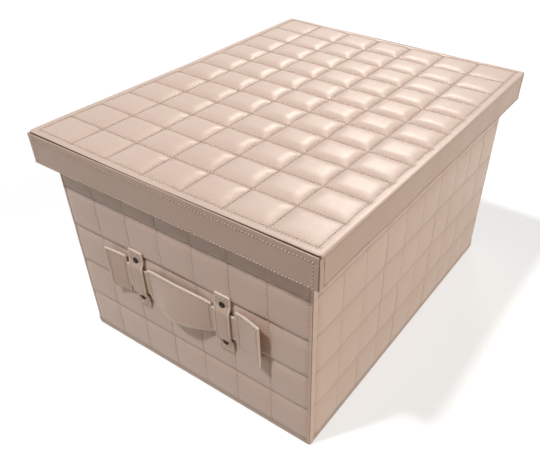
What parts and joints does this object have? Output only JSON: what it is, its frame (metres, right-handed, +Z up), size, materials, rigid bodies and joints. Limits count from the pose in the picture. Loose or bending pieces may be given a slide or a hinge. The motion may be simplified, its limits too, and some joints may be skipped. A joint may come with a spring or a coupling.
{
  "type": "storage box",
  "caption": "Quilted faux-leather storage box with a lift-off lid, a lined inside and a riveted strap handle on each short side.",
  "frame": {"origin": "middle of the footprint, on the surface the box stands on", "axes": "+Z up, the front with its strap handle faces -Y, the box is longest along Y"},
  "size_m": [0.3, 0.39, 0.2269],
  "materials": {
    "quilted_faux_leather": "padded polyurethane leather, satin, sewn in squares",
    "plain_faux_leather": "polyurethane leather, satin, glued to board",
    "strap_leather": "two layers, edge painted, sewn along the edges",
    "fibreboard": "pressed fibreboard, raw",
    "lining_cloth": "flocked cloth, matte",
    "rivet_brass": "dark antique brass"
  },
  "bodies": {
    "box": {"base_board": "fibreboard", "base_cover": "plain_faux_leather", "floor_board": "lining_cloth", "front_cover": "quilted_faux_leather", "front_board": "fibreboard", "front_lining": "lining_cloth", "right_cover": "quilted_faux_leather", "right_board": "fibreboard", "right_lining": "lining_cloth", "rear_cover": "quilted_faux_leather", "rear_board": "fibreboard", "rear_lining": "lining_cloth", "left_cover": "quilted_faux_leather", "left_board": "fibreboard", "left_lining": "lining_cloth", "front_keeper_left": "strap_leather", "front_keeper_right": "strap_leather", "front_rivets": "rivet_brass", "front_rivet_backs": "rivet_brass", "rear_keeper_left": "strap_leather", "rear_keeper_right": "strap_leather", "rear_rivets": "rivet_brass", "rear_rivet_backs": "rivet_brass"},
    "lid": {"lid_cover": "quilted_faux_leather", "lid_board": "fibreboard", "lid_lining": "lining_cloth", "skirt_front_cover": "plain_faux_leather", "skirt_front_board": "fibreboard", "skirt_right_cover": "plain_faux_leather", "skirt_right_board": "fibreboard", "skirt_rear_cover": "plain_faux_leather", "skirt_rear_board": "fibreboard", "skirt_left_cover": "plain_faux_leather", "skirt_left_board": "fibreboard"},
    "front_handle": {"front_strap": "strap_leather"},
    "rear_handle": {"rear_strap": "strap_leather"}
  },
  "joints": [
    {"name": "lid_lift", "type": "slide", "parent": "box", "child": "lid", "axis": [0, 0, 1], "range_m": [0, 0.12]},
    {"name": "front_strap_slide", "type": "slide", "parent": "box", "child": "front_handle", "axis": [1, 0, 0], "range_m": [-0.004, 0.004]},
    {"name": "rear_strap_slide", "type": "slide", "parent": "box", "child": "rear_handle", "axis": [1, 0, 0], "range_m": [-0.004, 0.004]}
  ]
}
